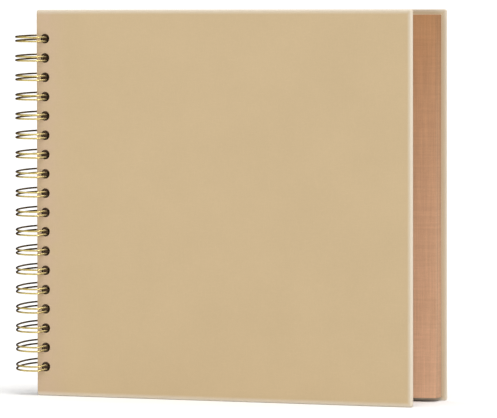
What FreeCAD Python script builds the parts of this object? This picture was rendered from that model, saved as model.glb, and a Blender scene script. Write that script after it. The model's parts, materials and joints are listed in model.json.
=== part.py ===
"""Scrapbook album: two paper-wrapped board covers and loose leaves on a twin-loop wire binding.

The album stands on the tail edges of its covers, with the front cover a little open.
+Z runs up the spine, +X runs from the spine to the fore edge, and the front cover faces -Y.
The covers, the leaves and the wire all turn about one upright line, the binding axis, which is
the centre line of the wire loops. Pieces are first made closed and square, with the binding
axis at X = 0, Y = 0, and are then turned open and moved to the frame's origin.
Lengths are millimetres and angles are degrees. An opening angle is counted from the closed album.
"""

import FreeCAD, Part
import math
import os

V = FreeCAD.Vector
UP = V(0, 0, 1)

# Covers: a board, a wrapping sheet turned in over its edges, and a lining sheet inside.
COVER_WIDTH = 271.0
COVER_HEIGHT = 254.0
BOARD_THICKNESS = 2.15
BOARD_CORNER_RADIUS = 1.2
BOARD_EDGE_RADIUS = 0.9
WRAP_THICKNESS = 0.3
TURN_IN = 14.0
LINING_THICKNESS = 0.25
LINING_MARGIN = 3.0

# Leaves: loose sheets between the covers, which overhang them at the fore edge and the ends.
LEAF_COUNT = 40
LEAF_THICKNESS = 0.25
LEAF_GAP = 0.16
LEAF_HANG = 0.5
FORE_OVERHANG = 3.4
END_OVERHANG = 3.0

# Opening: the album is open at one place. The leaves before it lie with the front cover and
# the others with the back cover, and each group springs apart by a share of the opening.
OPEN_AFTER_LEAF = 10
GROUP_SPRING = 0.05

# Binding: pairs of round wire loops, joined by short links along the seam. LOOP_ROOM is the
# distance from a closed cover's outer face to the wire's centre line where it is farthest out.
LOOP_COUNT = 18
LOOP_PITCH = 12.7
LOOP_ROOM = 3.72
WIRE_DIAMETER = 1.2
WIRE_SPACING = 2.66
WIRE_BEND_RADIUS = 1.5
WIRE_END_STUB = 2.0
SEAM_ANGLE = 97.0
SEAM_GAP = 0.5

# Punching: one round hole for each pair of loops, wider than the pair by HOLE_ROOM. The covers
# are pulled outwards on the wire, so it lies towards the fore side of their holes.
HOLE_ROOM = 2.54
HOLE_MARGIN = 6.6
COVER_PULL = 0.4

# The pose that the album is stored in.
REST_OPENING = 10.0

# Sizes that follow from the ones above.
WIRE_RADIUS = WIRE_DIAMETER / 2
COVER_THICKNESS = 2 * WRAP_THICKNESS + BOARD_THICKNESS + LINING_THICKNESS
LEAF_PITCH = LEAF_THICKNESS + LEAF_GAP
BLOCK_HALF = (LEAF_COUNT * LEAF_PITCH + LEAF_GAP) / 2
ALBUM_HALF = BLOCK_HALF + COVER_THICKNESS
LOOP_RADIUS = ALBUM_HALF + LOOP_ROOM
HOLE_DIAMETER = WIRE_SPACING + WIRE_DIAMETER + HOLE_ROOM
LEAF_HEIGHT = COVER_HEIGHT - 2 * END_OVERHANG
MID_HEIGHT = COVER_HEIGHT / 2


def circle_reach(radius, depth):
    """Distance in X from the binding axis to a circle about it, at a depth in Y."""
    return math.sqrt(radius ** 2 - depth ** 2)


# Square on the wire, a cover's holes would sit midway between the near side of the wire
# at the outer face and its far side at the inner face.
WIRE_NEAR_X = circle_reach(LOOP_RADIUS - WIRE_RADIUS, ALBUM_HALF)
WIRE_FAR_X = circle_reach(LOOP_RADIUS + WIRE_RADIUS, BLOCK_HALF)
COVER_HOLE_X = (WIRE_NEAR_X + WIRE_FAR_X) / 2 - COVER_PULL
COVER_SPINE_X = COVER_HOLE_X - HOLE_MARGIN
COVER_FORE_X = COVER_SPINE_X + COVER_WIDTH

# The leaves are jogged square, so their holes share one place, which suits the middle
# leaves and the outer ones alike.
LEAF_HOLE_X = (circle_reach(LOOP_RADIUS, 0) + circle_reach(LOOP_RADIUS, BLOCK_HALF)) / 2
LEAF_SPINE_X = LEAF_HOLE_X - HOLE_MARGIN
LEAF_WIDTH = COVER_FORE_X - FORE_OVERHANG - LEAF_SPINE_X
LEAF_TAIL_Z = MID_HEIGHT - LEAF_HANG - LEAF_HEIGHT / 2


def rest_corner_y():
    """Y of the front cover's outer fore corner when the album is open by REST_OPENING."""
    turn = math.radians(REST_OPENING)
    return -COVER_FORE_X * math.sin(turn) - ALBUM_HALF * math.cos(turn)


# The origin is the middle of the floor under the whole album.
LOOP_OUTER_RADIUS = LOOP_RADIUS + WIRE_RADIUS
ORIGIN_X = (COVER_FORE_X - LOOP_OUTER_RADIUS) / 2
ORIGIN_Y = (LOOP_OUTER_RADIUS + rest_corner_y()) / 2
AXIS_PLACE = V(-ORIGIN_X, -ORIGIN_Y, 0)


def loop_heights():
    """Middle height of each pair of loops, from the tail up."""
    first = MID_HEIGHT - (LOOP_COUNT - 1) * LOOP_PITCH / 2
    return [first + index * LOOP_PITCH for index in range(LOOP_COUNT)]


def opening_share(number):
    """Share of the front cover's opening that leaf `number` takes; leaf 1 is next to it."""
    if number <= OPEN_AFTER_LEAF:
        return 1 - GROUP_SPRING * number / OPEN_AFTER_LEAF
    behind = LEAF_COUNT + 1 - number
    return GROUP_SPRING * behind / (LEAF_COUNT - OPEN_AFTER_LEAF)


def rounded_outline(x_low, x_high, z_low, z_high, corner):
    """Closed wire of an upright rectangle at Y = 0, with round corners if corner is above 0."""
    if corner <= 0:
        points = [V(x_low, 0, z_low), V(x_high, 0, z_low), V(x_high, 0, z_high), V(x_low, 0, z_high)]
        return Part.makePolygon(points + points[:1])
    centres = [
        (x_high - corner, z_low + corner, -45),
        (x_high - corner, z_high - corner, 45),
        (x_low + corner, z_high - corner, 135),
        (x_low + corner, z_low + corner, 225),
    ]
    arcs = []
    for x, z, middle in centres:
        turns = [math.radians(middle + step) for step in (-45, 0, 45)]
        places = [V(x + corner * math.cos(t), 0, z + corner * math.sin(t)) for t in turns]
        arcs.append(Part.Arc(*places).toShape())
    edges = []
    for index, arc in enumerate(arcs):
        before = arcs[index - 1]
        edges.append(Part.makeLine(before.lastVertex().Point, arc.firstVertex().Point))
        edges.append(arc)
    return Part.Wire(edges)


def plate(x_span, z_span, y_span, corner=0.0):
    """Flat upright plate, with round corners seen from the front."""
    outline = rounded_outline(x_span[0], x_span[1], z_span[0], z_span[1], corner)
    sheet = Part.Face(outline)
    sheet.translate(V(0, y_span[0], 0))
    return sheet.extrude(V(0, y_span[1] - y_span[0], 0))


def round_front_edges(solid, radius):
    """Round the edges that bound a plate's -Y face."""
    front = solid.BoundBox.YMin
    edges = [edge for edge in solid.Edges if edge.BoundBox.YMax < front + 0.01]
    return solid.makeFillet(radius, edges)


def punch(solid, hole_x, drop=0.0):
    """Cut one round hole through a sheet for each pair of loops, lowered by drop."""
    low = solid.BoundBox.YMin - 1
    depth = solid.BoundBox.YLength + 2
    pins = []
    for height in loop_heights():
        pins.append(Part.makeCylinder(HOLE_DIAMETER / 2, depth, V(hole_x, low, height - drop), V(0, 1, 0)))
    return solid.cut(Part.makeCompound(pins))


def cover_span(inset):
    """X and Z spans of a closed cover, drawn in from its edges by inset."""
    return (COVER_SPINE_X + inset, COVER_FORE_X - inset), (inset, COVER_HEIGHT - inset)


def make_cover():
    """Board, wrap and lining of the closed front cover, as a dictionary of solids.

    From the outside in, the layers are the wrap, the board, the turned-in edge of the wrap
    and the lining, which is pressed down into the window that the turned-in edges leave.
    """
    outer = -ALBUM_HALF
    board_front = outer + WRAP_THICKNESS
    board_back = board_front + BOARD_THICKNESS
    turn_in_back = board_back + WRAP_THICKNESS
    lining_back = turn_in_back + LINING_THICKNESS

    full_x, full_z = cover_span(0)
    board_x, board_z = cover_span(WRAP_THICKNESS)
    window_x, window_z = cover_span(TURN_IN)
    lining_x, lining_z = cover_span(LINING_MARGIN)

    board = plate(board_x, board_z, (board_front, board_back), BOARD_CORNER_RADIUS)
    board = round_front_edges(board, BOARD_EDGE_RADIUS)

    wrap = plate(full_x, full_z, (outer, turn_in_back), BOARD_CORNER_RADIUS + WRAP_THICKNESS)
    wrap = round_front_edges(wrap, BOARD_EDGE_RADIUS + WRAP_THICKNESS)
    wrap = wrap.cut(board)
    wrap = wrap.cut(plate(window_x, window_z, (board_back, turn_in_back)))

    lining = plate(window_x, window_z, (board_back, turn_in_back))
    lining = lining.fuse(plate(lining_x, lining_z, (turn_in_back, lining_back)))

    pieces = {"board": board, "wrap": wrap, "lining": lining}
    return {name: punch(solid, COVER_HOLE_X) for name, solid in pieces.items()}


def make_leaf():
    """One leaf, closed and square, with its front face at Y = 0."""
    span_x = (LEAF_SPINE_X, LEAF_SPINE_X + LEAF_WIDTH)
    span_z = (LEAF_TAIL_Z, LEAF_TAIL_Z + LEAF_HEIGHT)
    sheet = plate(span_x, span_z, (0, LEAF_THICKNESS))
    return punch(sheet, LEAF_HOLE_X, LEAF_HANG)


def wire_bend(centre, axis, start, angle):
    """Round wire that starts at a point and turns about an axis through centre."""
    heading = axis.cross(start.sub(centre))
    disc = Part.Face(Part.Wire(Part.makeCircle(WIRE_RADIUS, start, heading)))
    return disc.revolve(centre, axis, angle)


def on_seam(angle, along, height):
    """Point of the plane that touches the loops' cylinder at an angle, `along` its tangent."""
    turn = math.radians(angle)
    outward = V(math.cos(turn), math.sin(turn), 0)
    tangent = V(-math.sin(turn), math.cos(turn), 0)
    return outward * LOOP_RADIUS + tangent * along + V(0, 0, height)


def make_loop_pair(height, link_below, link_above):
    """One finger of the binding: a link, a loop out, the closed tip, the loop back, a link.

    The wire leaves the seam, runs round the binding axis to the tip, turns through half a
    circle there and runs back beside itself. link_below and link_above are the straight
    lengths of link that belong to this finger.
    """
    bend_turn = math.degrees(WIRE_BEND_RADIUS / LOOP_RADIUS)
    root_angle = SEAM_ANGLE + bend_turn
    tip_reach = WIRE_SPACING / 2 + WIRE_DIAMETER + SEAM_GAP
    tip_angle = SEAM_ANGLE + 360 - math.degrees(tip_reach / LOOP_RADIUS)
    sweep = tip_angle - root_angle
    low = height - WIRE_SPACING / 2
    high = height + WIRE_SPACING / 2

    turn = math.radians(root_angle)
    facing = V(math.cos(turn), math.sin(turn), 0)
    tip_turn = math.radians(tip_angle)
    tip_facing = V(math.cos(tip_turn), math.sin(tip_turn), 0)

    low_corner = on_seam(root_angle, -WIRE_BEND_RADIUS, low - WIRE_BEND_RADIUS)
    high_corner = on_seam(root_angle, -WIRE_BEND_RADIUS, high + WIRE_BEND_RADIUS)
    low_root = on_seam(root_angle, 0, low)
    high_root = on_seam(root_angle, 0, high)
    low_tip = on_seam(tip_angle, 0, low)

    pieces = [
        Part.makeCylinder(WIRE_RADIUS, link_below, low_corner, V(0, 0, -1)),
        wire_bend(on_seam(root_angle, 0, low - WIRE_BEND_RADIUS), facing * -1, low_corner, 90),
        wire_bend(V(0, 0, low), UP, low_root, sweep),
        wire_bend(on_seam(tip_angle, 0, height), tip_facing, low_tip, 180),
        wire_bend(V(0, 0, high), UP, high_root, sweep),
        wire_bend(on_seam(root_angle, 0, high + WIRE_BEND_RADIUS), facing, high_corner, 90),
        Part.makeCylinder(WIRE_RADIUS, link_above, high_corner, UP),
    ]
    return pieces[0].fuse(pieces[1:]).removeSplitter()


def make_binding():
    """The whole binding wire, as one finger for each pair of loops, meeting mid link."""
    half_link = LOOP_PITCH / 2 - WIRE_SPACING / 2 - WIRE_BEND_RADIUS
    fingers = []
    for index, height in enumerate(loop_heights()):
        below = WIRE_END_STUB if index == 0 else half_link
        above = WIRE_END_STUB if index == LOOP_COUNT - 1 else half_link
        fingers.append(make_loop_pair(height, below, above))
    return Part.makeCompound(fingers)


def placed(shape, opening=0.0):
    """Copy of a closed piece, opened about the binding axis and moved to the frame's origin."""
    copy = shape.copy()
    copy.rotate(V(0, 0, 0), UP, -opening)
    copy.translate(AXIS_PLACE)
    return copy


def save(name, shape):
    """Write one node after a check that it is sound."""
    if not shape.isValid():
        raise ValueError(name + " is not a valid shape")
    shape.exportStep("parts/" + name + ".step")
    print(name, len(shape.Solids), "solids", round(shape.Volume, 1), "mm3")


def build():
    """Make every node of the album."""
    os.makedirs("parts", exist_ok=True)
    for layer, solid in make_cover().items():
        save("front_cover_" + layer, placed(solid, REST_OPENING))
        save("back_cover_" + layer, placed(solid.mirror(V(0, 0, 0), V(0, 1, 0))))

    leaf = make_leaf()
    for number in range(1, LEAF_COUNT + 1):
        sheet = leaf.copy()
        sheet.translate(V(0, -BLOCK_HALF + LEAF_GAP + (number - 1) * LEAF_PITCH, 0))
        save("leaf_%02d" % number, placed(sheet, REST_OPENING * opening_share(number)))

    save("binding_wire", placed(make_binding()))
    print("binding axis at", round(AXIS_PLACE.x, 4), round(AXIS_PLACE.y, 4))


build()
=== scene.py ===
"""Looks of the scrapbook album: papers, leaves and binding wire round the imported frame.

Every sheet is worked out closed and square in metres, with the binding axis as the upright
line x = 0, y = 0, and is then opened about that axis and moved to its place in the frame.
x runs from the spine to the fore edge, z upwards, and the front cover faces -y.
"""
import json
import math

import bmesh
import bpy
import numpy as np
from mathutils import Matrix, Vector


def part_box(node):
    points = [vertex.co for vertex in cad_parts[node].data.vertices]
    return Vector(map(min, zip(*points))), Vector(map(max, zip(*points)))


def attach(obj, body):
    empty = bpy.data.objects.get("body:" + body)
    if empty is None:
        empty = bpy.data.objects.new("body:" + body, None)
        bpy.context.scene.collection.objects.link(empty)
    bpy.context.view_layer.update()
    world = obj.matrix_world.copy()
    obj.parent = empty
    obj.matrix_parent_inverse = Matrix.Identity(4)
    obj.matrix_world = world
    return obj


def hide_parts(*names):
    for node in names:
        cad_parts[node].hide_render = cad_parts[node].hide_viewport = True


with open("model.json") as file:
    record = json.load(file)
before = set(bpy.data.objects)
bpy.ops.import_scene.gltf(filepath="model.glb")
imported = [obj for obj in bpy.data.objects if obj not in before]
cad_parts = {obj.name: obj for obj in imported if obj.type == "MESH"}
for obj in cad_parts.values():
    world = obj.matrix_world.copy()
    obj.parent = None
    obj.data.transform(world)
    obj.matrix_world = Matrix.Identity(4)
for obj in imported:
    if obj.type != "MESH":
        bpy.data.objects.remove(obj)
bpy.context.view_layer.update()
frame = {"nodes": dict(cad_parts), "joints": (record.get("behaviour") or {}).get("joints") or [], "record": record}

MM = 0.001
WELD = 1e-7

# Punching: one round hole for each pair of wire loops.
HOLE_COUNT = 18
HOLE_PITCH = 12.7 * MM
HOLE_RADIUS = 3.18 * MM
HOLE_MARGIN = 6.6 * MM
HOLE_CURL = 0.12 * MM
LEAF_HANG = 0.5 * MM

# Covers: paper drawn round a board and turned in behind it, with a lining over the turn-in.
PAPER = 0.3 * MM
OUTER_ROUND = 1.2 * MM
INNER_ROUND = 0.5 * MM
CORNER_ROUND = 1.5 * MM
TURN_IN = 14.0 * MM
LINING = 0.25 * MM
LINING_STEP = 0.2 * MM

# Leaves: how far a sheet in the middle of the block bows, and how far its fore edge waves.
LEAF_COUNT = 40
LEAF_BOW = 0.9 * MM
LEAF_WAVE = 0.12 * MM
ODD_LEAVES = {
    12: 0.7, 13: 0.78, 20: 0.72, 21: 0.72, 29: 0.7, 30: 0.76, 38: 0.6, 39: 0.5, 40: 0.45,
}

# Wire: loops about the binding axis, askew a little in their holes and more so outside them.
LOOP_RADIUS = 15.0 * MM
WIRE_RADIUS = 0.6 * MM
WIRE_SPACING = 2.66 * MM
WIRE_BEND = 1.5 * MM
WIRE_STUB = 2.0 * MM
ROOT_ANGLE = 102.73
TIP_ANGLE = 445.43
HOLE_LEAN = 1.9
FREE_LEAN_TOP = 2.6
FREE_LEAN_BOTTOM = 7.6
BACK_MORE = 0.2
FREE_FROM = 9.0 * MM
FREE_BY = 3.0 * MM

# Camera: compass angle from -y towards +x, height angle and roll in degrees, lens in
# millimetres, and its place from the foot of the binding axis in metres.
CAMERA_AZIMUTH = 16.05
CAMERA_RISE = 2.14
CAMERA_ROLL = -0.09
CAMERA_LENS = 410.45
CAMERA_PLACE = (1.1668, -3.5556, 0.2619)

hinge = next(joint for joint in frame["joints"] if joint["name"] == "front_cover_hinge")
AXIS = np.array([hinge["pos_m"][0], hinge["pos_m"][1], 0.0])
MIDDLE = hinge["pos_m"][2]
OPENING = -hinge["range_deg"][0]
COUPLINGS = frame["record"]["behaviour"]["couplings"]
SHARES = {coupling["joint"].removesuffix("_turn"): coupling["ratio"] for coupling in COUPLINGS}


# Shapes

def turned(points, degrees):
    """Points turned about the upright line through the origin: (x cos - y sin, x sin + y cos, z)."""
    angle = math.radians(degrees)
    cos, sin = math.cos(angle), math.sin(angle)
    return points @ np.array([[cos, sin, 0.0], [-sin, cos, 0.0], [0.0, 0.0, 1.0]])


def closed_box(node, opening):
    """Lowest and highest corner of a CAD node once its opening about the binding axis is undone."""
    mesh = frame["nodes"][node].data
    points = np.empty(len(mesh.vertices) * 3, np.float32)
    mesh.vertices.foreach_get("co", points)
    points = turned(points.reshape(-1, 3).astype(float) - AXIS, opening)
    return points.min(0), points.max(0)


def smooth(value):
    """0 below 0, 1 above 1, and 3 t^2 - 2 t^3 between."""
    share = np.clip(value, 0.0, 1.0)
    return share * share * (3 - 2 * share)


def grid_faces(rows, columns, closed=False):
    """Quads of a grid of points stored row by row; closed joins the last column to the first."""
    index = np.arange(rows * columns).reshape(rows, columns)
    if closed:
        index = np.hstack([index, index[:, :1]])
    corners = [index[:-1, :-1], index[:-1, 1:], index[1:, 1:], index[1:, :-1]]
    return np.stack(corners, -1).reshape(-1, 4)


def lattice(x_lines, z_lines):
    """Flat grid of (x, z) points on every crossing of two sets of lines."""
    x, z = np.meshgrid(x_lines, z_lines)
    return np.stack([x, z], -1).reshape(-1, 2), grid_faces(len(z_lines), len(x_lines))


def joined(parts):
    """One surface from several pairs of points and quads."""
    starts = np.cumsum([0] + [len(points) for points, faces in parts[:-1]])
    points = np.concatenate([part[0] for part in parts])
    return points, np.concatenate([part[1] + start for part, start in zip(parts, starts)])


def welded(points, faces, width):
    """The same surface with one point for each place, a place being the first width columns."""
    keys = np.round(points[:, :width] / WELD).astype(np.int64)
    _, first, place = np.unique(keys, axis=0, return_index=True, return_inverse=True)
    return points[first], place.reshape(-1)[faces]


def hole_heights(middle):
    """Heights of the hole centres, evenly about the middle of the sheet."""
    return middle + (np.arange(HOLE_COUNT) - (HOLE_COUNT - 1) / 2) * HOLE_PITCH


def punched_plane(x_start, x_lines, z_span, hole_x, heights, side, rings):
    """Flat sheet of (x, z) points with a round hole at hole_x and each height.

    A strip of boxes runs up the spine side, one round each hole. Each point of a box's rim is
    joined to the point of the hole on the same ray, and that line is cut at the shares in
    rings. The rest is a grid whose lines meet the strip's. Returns points, quads, x and z lines.
    """
    half = HOLE_PITCH / 2
    strip = np.linspace(x_start, x_lines[0], side + 1)
    step = np.linspace(-half, half, side + 1)
    rows = np.append((heights[:, None] + step[:-1]).ravel(), heights[-1] + half)
    low = np.linspace(z_span[0], rows[0], 5)
    high = np.linspace(rows[-1], z_span[1], 5)
    z_lines = np.concatenate([low[:-1], rows, high[1:]])
    rim_x = np.concatenate([strip[:-1], np.full(side, strip[-1]), strip[:0:-1], np.full(side, strip[0])])
    rim_z = np.concatenate([np.full(side, -half), step[:-1], np.full(side, half), step[:0:-1]])
    rim = np.stack([rim_x - hole_x, rim_z], -1)
    ring = rim / np.linalg.norm(rim, axis=1, keepdims=True) * HOLE_RADIUS
    box = ring + (rim - ring) * np.asarray(rings)[:, None, None]
    centres = np.stack([np.full(len(heights), hole_x), heights], -1)
    boxes = (centres[:, None, None] + box).reshape(-1, 2)
    faces = grid_faces(len(rings), 4 * side, closed=True)[:, ::-1]
    starts = np.arange(len(heights)) * len(rings) * 4 * side
    box_faces = (starts[:, None, None] + faces).reshape(-1, 4)
    parts = [lattice(x_lines, z_lines), lattice(strip, low), lattice(strip, high), (boxes, box_faces)]
    points, faces = welded(*joined(parts), 2)
    return points, faces, np.append(strip[:-1], x_lines), z_lines


def hole_distance(points, hole_x, heights):
    """Distance in the sheet from (x, z) points to the centre of the nearest hole."""
    nearest = np.clip(np.round((points[:, 1] - heights[0]) / HOLE_PITCH), 0, HOLE_COUNT - 1)
    return np.hypot(points[:, 0] - hole_x, points[:, 1] - heights[0] - nearest * HOLE_PITCH)


def outline(x_lines, z_lines, steps):
    """Stations round a rectangle, anticlockwise, as places and outward directions.

    A station keeps its side's direction, and at a corner the direction turns through a
    quarter in steps while the place stands still.
    """
    left, right, low, high = x_lines[0], x_lines[-1], z_lines[0], z_lines[-1]
    sides = [(x_lines, low), (right, z_lines), (x_lines[::-1], high), (left, z_lines[::-1])]
    quarter = np.linspace(0, 90, steps + 1)[1:-1]
    places, angles = [], []
    for number, (x, z) in enumerate(sides):
        side = np.stack(np.broadcast_arrays(x, z), -1)
        places += [side, np.repeat(side[-1:], steps - 1, axis=0)]
        angles += [np.full(len(side), 90.0 * number - 90), 90.0 * number - 90 + quarter]
    angles = np.radians(np.concatenate(angles))
    return np.concatenate(places), np.stack([np.cos(angles), np.sin(angles)], -1)


def edge_profile(depth, inset):
    """Section of the paper round a cover's edge, as (outwards, inwards) from the inset line.

    Two quarter circles, a large one at the outer face and a small one at the inner face, are
    joined by straight runs; inset draws the section in by the paper's thickness.
    """
    quarter = np.radians(np.linspace(0, 90, 6))
    first = OUTER_ROUND - inset
    second = INNER_ROUND - inset
    reach = CORNER_ROUND
    out_one = reach - OUTER_ROUND + first * np.sin(quarter)
    in_one = OUTER_ROUND - first * np.cos(quarter)
    out_two = reach - INNER_ROUND + second * np.cos(quarter)
    in_two = depth - INNER_ROUND + second * np.sin(quarter)
    arcs = [np.stack([out_one, in_one], -1), np.stack([out_two, in_two], -1)]
    return np.concatenate([[[0.0, inset]], *arcs, [[0.0, depth - inset]]])


def thickened(points, inner, faces):
    """Closed wall: the surface, its copy at inner turned over, and a strip on every free edge."""
    count = len(points)
    edges = np.concatenate([faces[:, [corner, (corner + 1) % 4]] for corner in range(4)])
    edges = edges[edges[:, 0] != edges[:, 1]]
    met = np.isin(edges[:, 0] * count + edges[:, 1], edges[:, 1] * count + edges[:, 0])
    free = edges[~met]
    strip = np.stack([free[:, 1], free[:, 0], free[:, 0] + count, free[:, 1] + count], -1)
    return np.concatenate([points, inner]), np.concatenate([faces, faces[:, ::-1] + count, strip])


def make_piece(name, points, faces, flat=None, tone=None):
    """Mesh object from points and quads; a quad with two corners in one place becomes a triangle.

    flat gives each point's place on the sheet for the UV map, and tone is one number for the
    whole piece or one for each point. Edges sharper than 40 degrees stay crisp.
    """
    keep = faces != np.roll(faces, -1, axis=1)
    keep &= keep.sum(axis=1, keepdims=True) > 2
    sizes = keep.sum(axis=1)
    sizes = sizes[sizes > 0]
    corners = faces[keep].astype(np.int32)
    mesh = bpy.data.meshes.new(name)
    mesh.vertices.add(len(points))
    mesh.vertices.foreach_set("co", points.astype(np.float32).ravel())
    mesh.loops.add(len(corners))
    mesh.loops.foreach_set("vertex_index", corners)
    mesh.polygons.add(len(sizes))
    mesh.polygons.foreach_set("loop_start", np.append(0, np.cumsum(sizes)[:-1]).astype(np.int32))
    if flat is not None:
        layer = mesh.uv_layers.new(name="sheet")
        layer.data.foreach_set("uv", flat[corners].astype(np.float32).ravel())
    mesh.update(calc_edges=True)
    shell = bmesh.new()
    shell.from_mesh(mesh)
    bmesh.ops.recalc_face_normals(shell, faces=shell.faces)
    shell.to_mesh(mesh)
    shell.free()
    if tone is not None:
        mark = mesh.attributes.new("tone", "FLOAT", "POINT")
        mark.data.foreach_set("value", np.full(len(points), tone, np.float32))
    mesh.polygons.foreach_set("use_smooth", np.ones(len(mesh.polygons), bool))
    mesh.set_sharp_from_angle(angle=math.radians(40))
    piece = bpy.data.objects.new(name, mesh)
    bpy.context.scene.collection.objects.link(piece)
    return piece


def placed(points, opening):
    """Points of a closed sheet, opened about the binding axis and moved to the frame."""
    return turned(points, -opening) + AXIS


def cover_paper(cover, opening, facing):
    """Paper round a board: outer face, rounded edges, and the edges turned in behind it.

    A point is (x, z, depth), the depth running inwards from the cover's outer face, and facing
    is -1 for the front cover and 1 for the back one, so y = facing (outer - depth). The face and
    the turn-in are punched planes, and between them the edge profile is carried round the
    outline. The paper curls in by HOLE_CURL at the rim of each hole.
    """
    low, high = closed_box(cover + "_wrap", opening)
    outer, thickness = max(abs(low[1]), abs(high[1])), high[1] - low[1]
    hole_x = low[0] + HOLE_MARGIN
    heights = hole_heights(MIDDLE)
    panel = np.linspace(low[0] + TURN_IN, high[0] - TURN_IN, 25)
    x_lines = np.concatenate([[hole_x + HOLE_PITCH / 2], panel, [high[0] - CORNER_ROUND]])
    z_span = (low[2] + CORNER_ROUND, high[2] - CORNER_ROUND)
    rings = [0.0, 0.06, 0.16, 0.45, 1.0]
    plane, quads, x_all, z_all = punched_plane(
        low[0] + CORNER_ROUND, x_lines, z_span, hole_x, heights, 8, rings)
    curl = HOLE_CURL * (1 - smooth((hole_distance(plane, hole_x, heights) - HOLE_RADIUS) / (0.45 * MM)))

    def face(depth, within, keep):
        outside = np.column_stack([plane, np.full(len(plane), depth) + within])
        return np.column_stack([outside, outside + [0, 0, PAPER if depth == 0 else -PAPER]]), keep

    middles = plane[quads].mean(axis=1)
    in_x = (middles[:, 0] > low[0] + TURN_IN) & (middles[:, 0] < high[0] - TURN_IN)
    in_z = (middles[:, 1] > low[2] + TURN_IN) & (middles[:, 1] < high[2] - TURN_IN)
    places, directions = outline(x_all, z_all, 5)
    sections = []
    for inset in (0.0, PAPER):
        section = edge_profile(thickness, inset)
        ring = places[:, None] + directions[:, None] * section[None, :, :1]
        depth = np.broadcast_to(section[None, :, 1:], ring.shape[:2] + (1,))
        sections.append(np.concatenate([ring, depth], -1).reshape(-1, 3))
    rows = len(places)
    edge_faces = grid_faces(rows + 1, len(section))
    edge_faces = edge_faces % (rows * len(section))
    parts = [face(0.0, curl, quads), (np.column_stack(sections), edge_faces)]
    parts.append(face(thickness, -curl * 0.4, quads[~(in_x & in_z)][:, ::-1]))
    points, faces = welded(*joined(parts), 3)
    used = np.unique(faces)
    index = np.zeros(len(points), int)
    index[used] = np.arange(len(used))
    points, faces = points[used], index[faces]
    flat = points[:, :2] - [low[0], low[2]]
    walls, faces = thickened(points[:, :3], points[:, 3:6], faces)
    solid = np.column_stack([walls[:, 0], facing * (outer - walls[:, 2]), walls[:, 1]])
    return make_piece(cover + "_paper", placed(solid, opening), faces, np.tile(flat, (2, 1)))


def lining_sheet(cover, opening, facing):
    """Lining of a cover: a thin sheet that dips softly by LINING_STEP inside the turn-in.

    y = facing (inner + dip), where the dip is LINING_STEP times a smooth step over 2.4 mm
    across the edge of the turned-in paper, on all four sides.
    """
    low, high = closed_box(cover + "_lining", opening)
    paper_low, paper_high = closed_box(cover + "_wrap", opening)
    inner = min(abs(low[1]), abs(high[1]))
    hole_x = paper_low[0] + HOLE_MARGIN
    left, right = paper_low[0] + TURN_IN, paper_high[0] - TURN_IN
    bottom, top = paper_low[2] + TURN_IN, paper_high[2] - TURN_IN
    brink = np.array([-1.2, -0.6, 0.0, 0.6, 1.2]) * MM
    panel = np.linspace(left + 6 * MM, right - 6 * MM, 16)
    x_lines = np.concatenate(
        [[left - 1.3 * MM], left + brink[1:], panel, right + brink, [high[0]]])
    plane, quads, _, _ = punched_plane(
        low[0], x_lines, (low[2], high[2]), hole_x, hole_heights(MIDDLE), 8, [0.0, 0.3, 1.0])
    x, z = plane.T
    inside = np.minimum(np.minimum(x - left, right - x), np.minimum(z - bottom, top - z))
    dip = LINING_STEP * smooth(inside / (2.4 * MM) + 0.5)
    front = np.column_stack([x, facing * (inner + dip), z])
    back = front + [0, facing * (LINING - 0.01 * MM), 0]
    walls, faces = thickened(front, back, quads)
    flat = plane - [paper_low[0], paper_low[2]]
    return make_piece(cover + "_liner", placed(walls, opening), faces, np.tile(flat, (2, 1)))


def leaf_sheet(number):
    """One leaf: a thin punched sheet, bowed and a little wavy at its fore edge.

    With s from 0 at the spine to 1 at the fore edge, the sheet moves in y by
    -LEAF_BOW m sin^2(pi s) + LEAF_WAVE s^2 sin(30 z + number / 2), where m falls from 1 for the
    middle leaf to 0 at the covers, so neighbours stay clear of each other when closed.
    """
    name = "leaf_%02d" % number
    opening = OPENING * SHARES[name]
    low, high = closed_box(name, opening)
    hole_x = low[0] + HOLE_MARGIN
    heights = hole_heights(MIDDLE - LEAF_HANG)
    x_lines = np.linspace(hole_x + HOLE_PITCH / 2, high[0], 15)
    plane, quads, _, _ = punched_plane(
        low[0], x_lines, (low[2], high[2]), hole_x, heights, 6, [0.0, 0.3, 1.0])
    x, z = plane.T
    share = (x - low[0]) / (high[0] - low[0])
    middle = 1 - abs(2 * number - LEAF_COUNT - 1) / LEAF_COUNT
    bow = -LEAF_BOW * middle * np.sin(math.pi * share) ** 2
    wave = LEAF_WAVE * share ** 2 * np.sin(30 * z + number / 2)
    front = np.column_stack([x, low[1] + bow + wave, z])
    walls, faces = thickened(front, front + [0, high[1] - low[1], 0], quads)
    tone = ODD_LEAVES.get(number, 1.0) * (1 + 0.025 * math.sin(2.4 * number))
    flat = plane - [low[0], low[2]]
    return make_piece("kraft_" + name, placed(walls, opening), faces, np.tile(flat, (2, 1)), tone)


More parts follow.
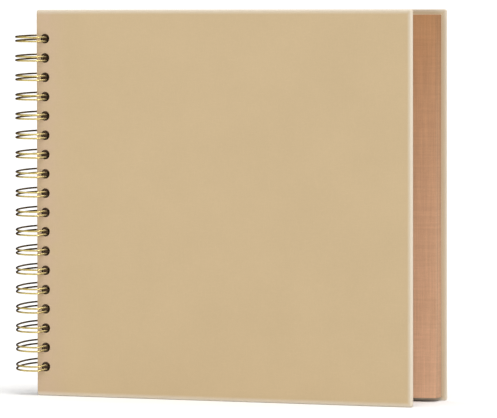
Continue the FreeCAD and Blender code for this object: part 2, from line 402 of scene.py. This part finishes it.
def wire_stations():
    """Centre line of the whole binding wire, as turn about the axis, tangent offset and height.

    Each pair of loops is: up a link, a quarter bend on to the loop, round to the tip, half a
    circle there, back round beside itself, a quarter bend, and up the next link.
    """
    half = WIRE_SPACING / 2
    root, tip = math.radians(ROOT_ANGLE), math.radians(TIP_ANGLE)
    bend = np.radians(np.linspace(0, 90, 7))
    cap = np.radians(np.linspace(-90, 90, 11))
    sweep = np.linspace(root, tip, 61)[1:-1]
    flat = np.zeros_like
    legs = [
        (np.full(7, root), -WIRE_BEND * np.cos(bend), -half - WIRE_BEND + WIRE_BEND * np.sin(bend)),
        (sweep, flat(sweep), flat(sweep) - half),
        (np.full(11, tip), half * np.cos(cap), half * np.sin(cap)),
        (sweep[::-1], flat(sweep), flat(sweep) + half),
        (np.full(7, root), -WIRE_BEND * np.sin(bend), half + WIRE_BEND - WIRE_BEND * np.cos(bend)),
    ]
    turn, offset, rise = (np.concatenate(column) for column in zip(*legs))
    heights = hole_heights(MIDDLE)
    rise = (heights[:, None] + rise).ravel()
    ends = np.array([WIRE_STUB, WIRE_STUB - 0.04 * MM, WIRE_STUB - 0.2 * MM])
    turn = np.concatenate([np.full(3, root), np.tile(turn, HOLE_COUNT), np.full(3, root)])
    offset = np.concatenate([np.full(3, -WIRE_BEND), np.tile(offset, HOLE_COUNT), np.full(3, -WIRE_BEND)])
    return turn, offset, np.concatenate([rise[0] - ends, rise, rise[-1] + ends[::-1]])


def binding_loops():
    """One continuous round wire: a circle of 14 points carried along the wire's centre line.

    The line leans, z rising by y tan(lean): by HOLE_LEAN in the holes, and outside the spine by
    a lean that changes evenly from the bottom loop to the top one and is BACK_MORE greater at
    the back, and as much less at the front. The circle's first direction is the outward one,
    squared to the line, and its radius closes to nothing at the two cut ends. The tone is a
    painted highlight and painted shade: it is 1 at the front of each loop, where a highlight is
    painted, and falls to 0 where shade is painted, at its tips, in the holes and at the back.
    """
    turn, offset, rise = wire_stations()
    outward = np.stack([np.cos(turn), np.sin(turn), np.zeros_like(turn)], -1)
    around = np.stack([-np.sin(turn), np.cos(turn), np.zeros_like(turn)], -1)
    line = LOOP_RADIUS * outward + offset[:, None] * around
    share = np.clip((rise - rise[0]) / (rise[-1] - rise[0]), 0, 1)
    free_lean = FREE_LEAN_BOTTOM + (FREE_LEAN_TOP - FREE_LEAN_BOTTOM) * share
    free_lean = free_lean * (1 + BACK_MORE * line[:, 1] / LOOP_RADIUS)
    free = smooth((FREE_FROM - line[:, 0]) / (FREE_FROM - FREE_BY))
    lean = HOLE_LEAN + (free_lean - HOLE_LEAN) * free
    line[:, 2] = rise + line[:, 1] * np.tan(np.radians(lean))
    ahead = np.gradient(line, axis=0)
    ahead /= np.linalg.norm(ahead, axis=1, keepdims=True)
    first = outward - (outward * ahead).sum(axis=1, keepdims=True) * ahead
    first /= np.linalg.norm(first, axis=1, keepdims=True)
    second = np.cross(ahead, first)
    radius = np.full(len(line), WIRE_RADIUS)
    radius[:2] = radius[-2:] = 0.0
    radius[1] = radius[-2] = 0.8 * WIRE_RADIUS
    angles = np.linspace(0, 2 * math.pi, 14, endpoint=False)[None, :, None]
    ring = np.cos(angles) * first[:, None] + np.sin(angles) * second[:, None]
    tube = line[:, None] + radius[:, None, None] * ring
    points, faces = welded(tube.reshape(-1, 3), grid_faces(len(line), 14, closed=True), 3)
    # Painted highlight and shade: 1 at the front of each loop, falling to 0 at the tips, in the holes and at the
    # back.
    front = smooth(-points[:, 1] / (9 * MM))
    painted_highlight = front * smooth(1.15 - abs(points[:, 0] + 2.5 * MM) / (12 * MM))
    return make_piece("binding_loops", points + AXIS, faces, tone=painted_highlight)


# Finishes

class Wire:
    """A shader output; arithmetic on it adds Math nodes to the same material."""

    def __init__(self, finish, socket):
        self.finish = finish
        self.socket = socket

    def calculate(self, operation, *values, clamp=False):
        settings = {"operation": operation, "use_clamp": clamp}
        return self.finish.node("ShaderNodeMath", settings, dict(enumerate(values)))

    def __add__(self, other):
        return self.calculate("ADD", self, other)

    def __sub__(self, other):
        return self.calculate("SUBTRACT", self, other)

    def __rsub__(self, other):
        return self.calculate("SUBTRACT", other, self)

    def __mul__(self, other):
        return self.calculate("MULTIPLY", self, other)

    __radd__ = __add__
    __rmul__ = __mul__

    def least(self, other):
        """The smaller of two values."""
        return self.calculate("MINIMUM", self, other)

    def between(self, low, high):
        """0 where the value is low, 1 where it is high, and straight and clamped between."""
        return (self * (1 / (high - low)) + (-low / (high - low))).calculate_clamped()

    def calculate_clamped(self):
        """The same value, held between 0 and 1."""
        return self.calculate("ADD", self, 0.0, clamp=True)


class Finish:
    """A material with one Principled shader, built node by node."""

    def __init__(self, name, **constants):
        self.material = bpy.data.materials.new(name)
        self.material.use_nodes = True
        self.tree = self.material.node_tree
        self.shader = self.tree.nodes["Principled BSDF"]
        for socket, value in constants.items():
            self.shader.inputs[socket.replace("_", " ")].default_value = value

    def node(self, kind, settings, values, output=0):
        """Add a node: its settings first, then its sockets' values or links."""
        node = self.tree.nodes.new(kind)
        for key, value in settings.items():
            setattr(node, key, value)
        for key, value in values.items():
            if isinstance(value, Wire):
                self.tree.links.new(value.socket, node.inputs[key])
            else:
                node.inputs[key].default_value = value
        return Wire(self, node.outputs[output])

    def place(self):
        """Object coordinates, in metres."""
        return self.node("ShaderNodeTexCoord", {}, {}, "Object")

    def noise(self, place, scale, detail=3.0, rough=0.5):
        """Cloudy value about 0.5, with features 1 / scale metres apart."""
        values = {"Vector": place, "Scale": scale, "Detail": detail, "Roughness": rough}
        return self.node("ShaderNodeTexNoise", {}, values, "Fac")

    def stretched(self, place, stretch, degrees):
        """The place turned about all three axes and scaled unevenly, for fibres that lie one way."""
        turn = tuple(math.radians(value) for value in degrees)
        return self.node("ShaderNodeMapping", {}, {"Vector": place, "Rotation": turn, "Scale": stretch})

    def mix(self, share, first, second):
        """Colour between two colours, by a share from 0 to 1."""
        first = first if isinstance(first, Wire) else (*first, 1.0)
        second = second if isinstance(second, Wire) else (*second, 1.0)
        return self.node("ShaderNodeMix", {"data_type": "RGBA"}, {0: share, 6: first, 7: second}, 2)

    def shade(self, colour, amount):
        """Colour times a value, on all three channels."""
        both = {0: colour, 1: amount}
        return self.node("ShaderNodeVectorMath", {"operation": "MULTIPLY"}, both)

    def bump(self, height, strength, distance):
        """Normal bent by a height from 0 to 1 that stands for distance metres."""
        values = {"Height": height, "Strength": strength, "Distance": distance}
        return self.node("ShaderNodeBump", {}, values, "Normal")

    def drive(self, **links):
        """Link outputs to the shader's sockets and give the material."""
        for socket, value in links.items():
            self.tree.links.new(value.socket, self.shader.inputs[socket.replace("_", " ")])
        return self.material


def edge_distance(finish, width, height):
    """Distances to a cover's nearest free edge and to its spine edge, by the sheet's UV map."""
    sheet = finish.node("ShaderNodeUVMap", {"uv_map": "sheet"}, {})
    along = finish.node("ShaderNodeSeparateXYZ", {}, {"Vector": sheet}, "X")
    up = Wire(finish, along.socket.node.outputs["Y"])
    return (width - along).least(up.least(height - up)), along


def fibres(finish, place, scale):
    """Fine fibres lying every way: the greatest of three stretched noises, turned apart."""
    layers = []
    for stretch, degrees in (((1, 1, 9), (8, 20, 0)), ((9, 1, 1), (0, 31, 12)), ((5, 1, 5), (40, 52, 25))):
        layers.append(finish.noise(finish.stretched(place, stretch, degrees), scale, 2.0))
    return layers[0].calculate("MAXIMUM", layers[0], layers[1].calculate("MAXIMUM", layers[1], layers[2]))


def cover_finish(width, height):
    """Tan wrapping paper: fibres, faint clouding, a paler edge that is partly wear and partly a painted highlight,
    and a pinker punched strip.
    """
    finish = Finish("tan cover paper", Specular_IOR_Level=0.3, Sheen_Weight=0.08, Sheen_Roughness=0.5)
    place = finish.place()
    edge, along = edge_distance(finish, width, height)
    clouds = finish.noise(place, 26.0, 4.0, 0.6)
    fibre = fibres(finish, place, 210.0)
    grain = finish.noise(place, 1500.0, 2.0, 0.6)
    colour = finish.mix(clouds.between(0.3, 0.7), (0.505, 0.38, 0.22), (0.528, 0.398, 0.232))
    strip = (1 - along.between(9 * MM, 24 * MM)) * finish.noise(place, 120.0, 3.0, 0.6).between(0.2, 0.6)
    colour = finish.mix(strip, colour, (0.525, 0.383, 0.25))
    # Pale band along the fore, top and bottom edges: partly wear, partly a painted highlight where those edges
    # catch the light.
    wear_and_painted_highlight = 1 - (edge + (clouds - 0.5) * (0.6 * MM)).between(0.7 * MM, 3.2 * MM)
    colour = finish.mix(wear_and_painted_highlight * 0.95, colour, (0.62, 0.545, 0.435))
    shade = 0.955 + fibre.between(0.5, 0.85) * 0.06 + grain * 0.03
    height_map = fibre * 0.6 + grain * 0.4
    rough = 0.56 + clouds * 0.12 + grain * 0.08
    normal = finish.bump(height_map, 0.3, 0.06 * MM)
    return finish.drive(Base_Color=finish.shade(colour, shade), Roughness=rough, Normal=normal)


def lining_finish(width, height):
    """Uncoated tan lining paper, a little redder than the cover, with painted light making it paler at its margin.
    """
    finish = Finish("tan lining paper", Specular_IOR_Level=0.25, Sheen_Weight=0.05)
    place = finish.place()
    edge, _ = edge_distance(finish, width, height)
    clouds = finish.noise(place, 32.0, 4.0, 0.6)
    fibre = fibres(finish, place, 260.0)
    colour = finish.mix(clouds.between(0.3, 0.7), (0.56, 0.395, 0.24), (0.59, 0.42, 0.26))
    # Painted light: the lining is made paler in a band along its edges, where the margin shows.
    margin = 1 - edge.between(2.6 * MM, 6.5 * MM)
    colour = finish.mix(margin * 0.85, colour, (0.76, 0.63, 0.46))
    shade = 0.95 + fibre.between(0.5, 0.85) * 0.09
    rough = 0.7 + clouds * 0.12
    normal = finish.bump(fibre, 0.3, 0.05 * MM)
    return finish.drive(Base_Color=finish.shade(colour, shade), Roughness=rough, Normal=normal)


def leaf_finish(height):
    """Red-brown kraft: fibres, flecks, one tone a leaf, and painted shade that makes it paler towards the foot and
    dark at the spine.
    """
    finish = Finish("kraft leaf paper", Specular_IOR_Level=0.2)
    place = finish.place()
    tone = finish.node("ShaderNodeAttribute", {"attribute_name": "tone"}, {}, "Fac")
    sheet = finish.node("ShaderNodeUVMap", {"uv_map": "sheet"}, {})
    along = finish.node("ShaderNodeSeparateXYZ", {}, {"Vector": sheet}, "X")
    up = Wire(finish, along.socket.node.outputs["Y"]).between(0.0, height)
    # Painted shade: the leaf is darkened to a quarter within 4 mm of its spine edge, fading out by 8 mm, so the
    # holes look shadowed.
    painted_spine_shade = along.between(4 * MM, 8 * MM) * 0.75 + 0.25
    clouds = finish.noise(place, 45.0, 5.0, 0.6)
    fibre = fibres(finish, place, 230.0)
    fleck = finish.noise(finish.stretched(place, (2, 1, 7), (15, 0, 0)), 420.0, 2.0).between(0.66, 0.76)
    laid = finish.noise(finish.stretched(place, (1, 1, 0.03), (0, 0, 0)), 850.0, 2.0)
    wove = finish.noise(finish.stretched(place, (0.03, 0.03, 1), (0, 0, 0)), 850.0, 2.0)
    # Painted shade: the colour darkens and browns from the foot of the leaf to its top.
    colour = finish.mix(up * up, (0.655, 0.4, 0.255), (0.425, 0.21, 0.092))
    colour = finish.mix(clouds.between(0.25, 0.75) * 0.35, colour, (0.5, 0.31, 0.175))
    colour = finish.mix(fleck * 0.3, colour, (0.30, 0.16, 0.08))
    lines = laid.between(0.3, 0.7) * 0.14 + wove.between(0.3, 0.7) * 0.08
    shade = (0.82 + lines + fibre.between(0.5, 0.85) * 0.12) * tone * painted_spine_shade
    rough = 0.78 + clouds * 0.12
    normal = finish.bump(fibre, 0.35, 0.05 * MM)
    return finish.drive(Base_Color=finish.shade(colour, shade), Roughness=rough, Normal=normal)


def board_finish():
    """Greyboard seen in the walls of the punched holes: grey-brown pulp with layers and flecks, its own colour
    darkened further by painted shade so the holes look shadowed inside.
    """
    finish = Finish("greyboard", Specular_IOR_Level=0.2)
    place = finish.place()
    pulp = finish.noise(place, 700.0, 5.0, 0.65)
    fleck = finish.noise(place, 1900.0, 2.0).between(0.6, 0.72)
    # Painted shade: these colours are far darker than greyboard's own, to stand for the shadow inside the holes.
    colour = finish.mix(pulp.between(0.3, 0.7), (0.05, 0.034, 0.021), (0.09, 0.064, 0.042))
    colour = finish.mix(fleck * 0.5, colour, (0.045, 0.033, 0.024))
    rough = 0.85 + pulp * 0.1
    return finish.drive(Base_Color=colour, Roughness=rough, Normal=finish.bump(pulp, 0.5, 0.1 * MM))


def wire_finish():
    """Brass-coloured wire: painted shade makes it brown and dull at its tips, in the holes and at the back, and a
    painted highlight makes it pale gold at the front of each loop.
    """
    finish = Finish("brass wire", Metallic=1.0, Specular_Tint=(0.12, 0.08, 0.05, 1.0),
                    Coat_Weight=0.1, Coat_Roughness=0.1)
    place = finish.place()
    patches = finish.noise(place, 260.0, 4.0, 0.6)
    fine = finish.noise(place, 2600.0, 2.0)
    painted_highlight = finish.node("ShaderNodeAttribute", {"attribute_name": "tone"}, {}, "Fac")
    # Painted highlight and shade: dark brown where the tone is 0, pale gold where it is 1.
    colour = finish.mix(painted_highlight, (0.21, 0.155, 0.085), (0.72, 0.58, 0.215))
    colour = finish.mix(patches.between(0.5, 0.75) * 0.5, colour, (0.1, 0.065, 0.028))
    rough = 0.14 + patches * 0.14 + fine * 0.06
    return finish.drive(Base_Color=colour, Roughness=rough, Normal=finish.bump(fine, 0.15, 0.02 * MM))


def dress(piece, material, body, slot, *nodes):
    """Give a piece its material and the body it moves with, and hide the nodes it stands for; slot is not used."""
    piece.data.materials.append(material)
    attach(piece, body)
    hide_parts(*nodes)


# The album

wrap_low, wrap_high = closed_box("back_cover_wrap", 0.0)
cover_width, cover_height = wrap_high[0] - wrap_low[0], wrap_high[2] - wrap_low[2]
tan_paper = cover_finish(cover_width, cover_height)
lining_paper = lining_finish(cover_width, cover_height)
greyboard = board_finish()
for cover, opening, facing in (("front_cover", OPENING, -1), ("back_cover", 0.0, 1)):
    dress(cover_paper(cover, opening, facing), tan_paper, cover, "cover_paper", cover + "_wrap")
    dress(lining_sheet(cover, opening, facing), lining_paper, cover, "lining_paper", cover + "_lining")
    board = frame["nodes"][cover + "_board"]
    board.data.materials.clear()
    board.data.materials.append(greyboard)

leaf_low, leaf_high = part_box("leaf_01")
kraft = leaf_finish(leaf_high.z - leaf_low.z)
for number in range(1, LEAF_COUNT + 1):
    leaf = "leaf_%02d" % number
    dress(leaf_sheet(number), kraft, leaf, "leaf_paper", leaf)

dress(binding_loops(), wire_finish(), "binding", "binding_wire", "binding_wire")


# Floor, light and camera

def make_floor():
    """Plain pale floor, far larger than the view."""
    mesh = bpy.data.meshes.new("floor")
    reach = 60.0
    corners = [(-reach, -reach, 0), (reach, -reach, 0), (reach, reach, 0), (-reach, reach, 0)]
    mesh.from_pydata(corners, [], [(0, 1, 2, 3)])
    floor = bpy.data.objects.new("floor", mesh)
    bpy.context.scene.collection.objects.link(floor)
    finish = Finish("pale floor", Roughness=0.9, Specular_IOR_Level=0.1)
    grain = finish.noise(finish.place(), 40.0)
    mesh.materials.append(finish.drive(Base_Color=finish.mix(grain, (0.86, 0.86, 0.86), (0.87, 0.87, 0.87))))


def make_sun(name, strength, angle, azimuth, elevation, colour):
    """Soft far light from a compass angle, counted from -y towards +x, and a height in degrees."""
    lamp = bpy.data.lights.new(name, "SUN")
    lamp.energy = strength
    lamp.angle = math.radians(angle)
    lamp.color = colour
    light = bpy.data.objects.new(name, lamp)
    side, up = math.radians(azimuth), math.radians(elevation)
    source = Vector((math.sin(side) * math.cos(up), -math.cos(side) * math.cos(up), math.sin(up)))
    light.rotation_euler = source.to_track_quat("Z", "Y").to_euler()
    bpy.context.scene.collection.objects.link(light)


def make_sky():
    """White backdrop for the eye; as light, a soft studio that is dim low down behind the album."""
    world = bpy.data.worlds.new("studio")
    world.use_nodes = True
    tree = world.node_tree
    shown = tree.nodes["Background"]
    shown.inputs["Color"].default_value = (1, 1, 1, 1)
    shown.inputs["Strength"].default_value = 1.2
    lit = tree.nodes.new("ShaderNodeBackground")
    place = tree.nodes.new("ShaderNodeTexCoord")
    split = tree.nodes.new("ShaderNodeSeparateXYZ")
    ramp = tree.nodes.new("ShaderNodeValToRGB")
    stops = [(0.0, 0.1), (0.1, 0.14), (0.35, 0.75), (1.0, 1.05)]
    while len(ramp.color_ramp.elements) < len(stops):
        ramp.color_ramp.elements.new(0.5)
    for element, (spot, value) in zip(ramp.color_ramp.elements, stops):
        element.position = spot
        element.color = (value, value, value, 1.0)
    rays = tree.nodes.new("ShaderNodeLightPath")
    blend = tree.nodes.new("ShaderNodeMixShader")
    tree.links.new(place.outputs["Generated"], split.inputs["Vector"])
    tree.links.new(split.outputs["Z"], ramp.inputs["Fac"])
    tree.links.new(ramp.outputs["Color"], lit.inputs["Color"])
    tree.links.new(rays.outputs["Is Camera Ray"], blend.inputs[0])
    tree.links.new(lit.outputs["Background"], blend.inputs[1])
    tree.links.new(shown.outputs["Background"], blend.inputs[2])
    tree.links.new(blend.outputs[0], tree.nodes["World Output"].inputs["Surface"])
    bpy.context.scene.world = world


def make_camera():
    """Long lens from the front, a little to the right and just above the album."""
    lens = bpy.data.cameras.new("camera")
    lens.sensor_width = 36.0
    lens.lens = CAMERA_LENS
    lens.clip_start = 0.05
    lens.clip_end = 200.0
    camera = bpy.data.objects.new("camera", lens)
    side, up = math.radians(CAMERA_AZIMUTH), math.radians(CAMERA_RISE)
    roll = math.radians(CAMERA_ROLL)
    back = Vector((math.sin(side) * math.cos(up), -math.cos(side) * math.cos(up), math.sin(up)))
    level = Vector((math.cos(side), math.sin(side), 0))
    upright = back.cross(level)
    right = level * math.cos(roll) + upright * math.sin(roll)
    top = upright * math.cos(roll) - level * math.sin(roll)
    spot = Vector(AXIS) + Vector(CAMERA_PLACE)
    turn = Matrix((right, top, back)).transposed().to_4x4()
    camera.matrix_world = Matrix.Translation(spot) @ turn
    bpy.context.scene.collection.objects.link(camera)
    bpy.context.scene.camera = camera


make_floor()
make_sky()
make_sun("key light", 1.49, 30.0, 35.0, 70.0, (1.0, 0.99, 0.97))
make_sun("front light", 0.62, 3.0, 14.0, 3.5, (1.0, 1.0, 1.0))
make_sun("fore edge light", 0.6, 25.0, 85.0, 20.0, (1.0, 1.0, 1.0))
make_camera()
bpy.context.scene.view_settings.view_transform = "Standard"
